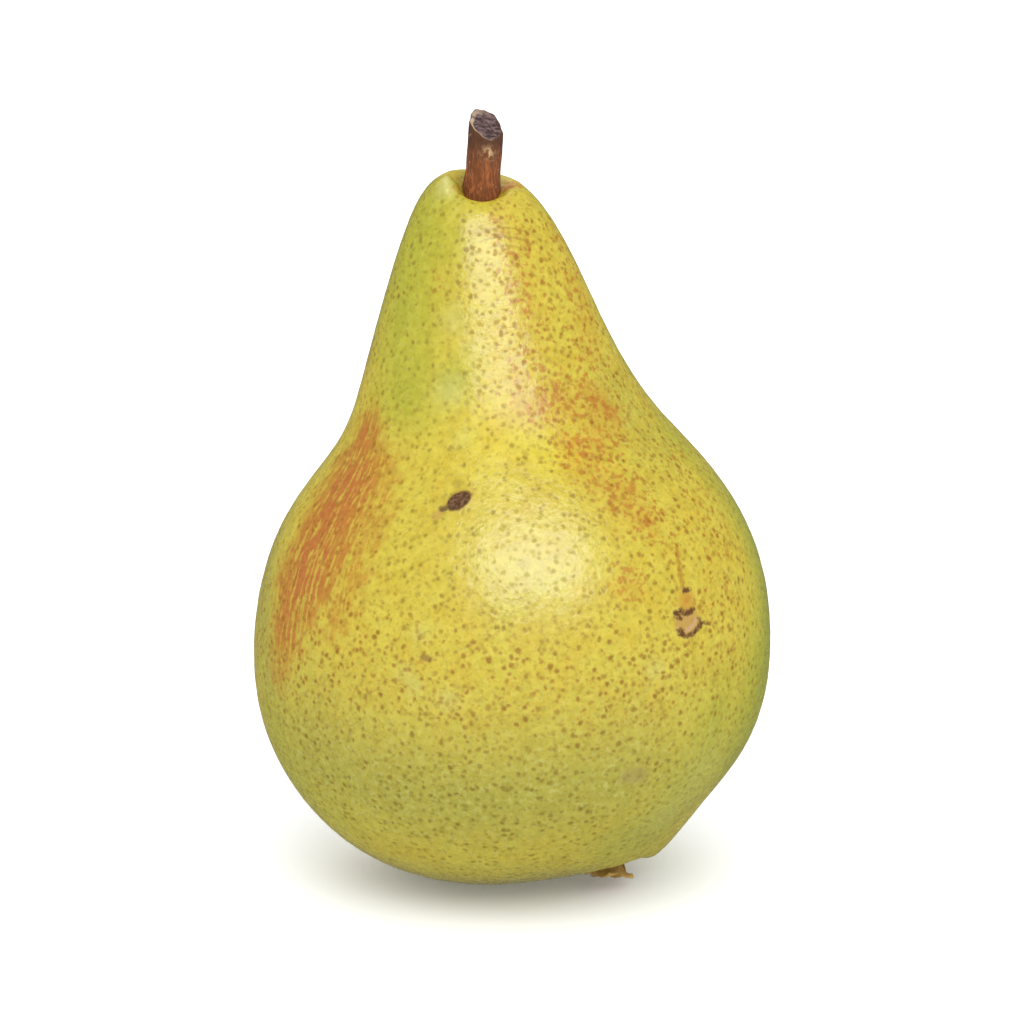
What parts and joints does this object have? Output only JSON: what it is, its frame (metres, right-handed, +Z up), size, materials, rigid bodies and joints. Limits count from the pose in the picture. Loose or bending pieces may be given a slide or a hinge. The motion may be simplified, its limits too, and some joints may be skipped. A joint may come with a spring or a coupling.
{
  "type": "pear",
  "caption": "Whole ripe pear with a leaning neck, a short cut stem and a dried calyx, standing on a small flat spot of its base.",
  "frame": {"origin": "middle of the underside of the pear's box, on the plane of its flat seat", "axes": "+Z up along the pear from its base to its stem; +X to the right and +Y away from the viewer in the pictured view, in which the neck leans to -X"},
  "size_m": [0.0694, 0.0684, 0.1043],
  "materials": {
    "skin": "satin",
    "stem_bark": "matte",
    "dried_calyx": "matte"
  },
  "bodies": {
    "root": {"fruit": "skin", "stem": "stem_bark", "calyx": "dried_calyx"}
  },
  "joints": []
}
